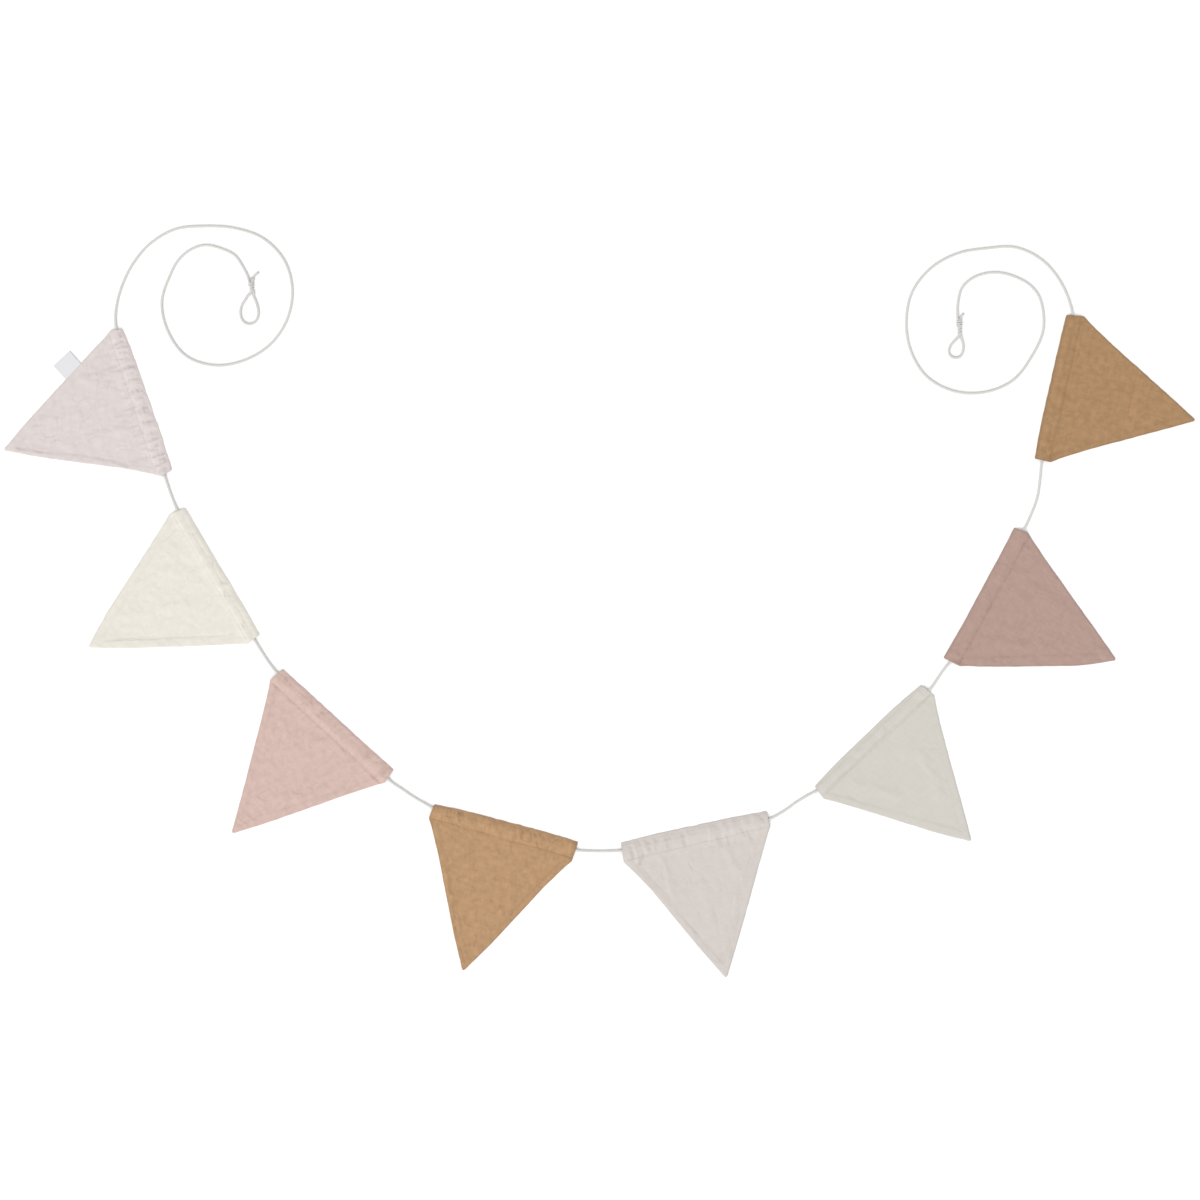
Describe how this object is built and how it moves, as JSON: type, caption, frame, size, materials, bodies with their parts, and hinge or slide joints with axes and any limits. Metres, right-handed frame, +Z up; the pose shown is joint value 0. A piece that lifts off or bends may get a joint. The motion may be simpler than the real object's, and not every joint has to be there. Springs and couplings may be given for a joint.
{
  "type": "fabric bunting",
  "caption": "Bunting of turned linen triangles threaded on a cord through stitched channels, laid flat in a wide U, with spiralled cord ends that finish in knotted hanging loops.",
  "frame": {"origin": "on the surface that the garland lies on, under the middle of the box of its pennants and the cord between them", "axes": "+X along the garland from its first pennant, with the label, to its last; +Y from the bottom of the U towards its open side; +Z up off the surface"},
  "size_m": [1.191, 0.7523, 0.0055],
  "materials": {
    "linen_greige": "matt plain-weave linen, greige pink",
    "linen_cream": "matt plain-weave linen, cream",
    "linen_blush": "matt plain-weave linen, blush pink",
    "linen_camel": "matt plain-weave linen, camel",
    "linen_lilac_grey": "matt plain-weave linen, pale lilac grey",
    "linen_sage_grey": "matt plain-weave linen, pale sage grey",
    "linen_dusty_rose": "matt plain-weave linen, dusty rose",
    "linen_dark_camel": "matt plain-weave linen, darker camel",
    "cord_cotton": "matt round cotton cord, off-white",
    "label_tape": "smooth woven tape, white, bare"
  },
  "bodies": {
    "root": {"pennant_1": "linen_greige", "pennant_2": "linen_cream", "pennant_3": "linen_blush", "pennant_4": "linen_camel", "pennant_5": "linen_lilac_grey", "pennant_6": "linen_sage_grey", "pennant_7": "linen_dusty_rose", "pennant_8": "linen_dark_camel", "cord_middle": "cord_cotton", "tail_left": "cord_cotton", "tail_right": "cord_cotton", "loop_left": "cord_cotton", "loop_right": "cord_cotton", "cut_end_left": "cord_cotton", "cut_end_right": "cord_cotton", "knot_left": "cord_cotton", "knot_right": "cord_cotton", "label": "label_tape"}
  },
  "joints": []
}
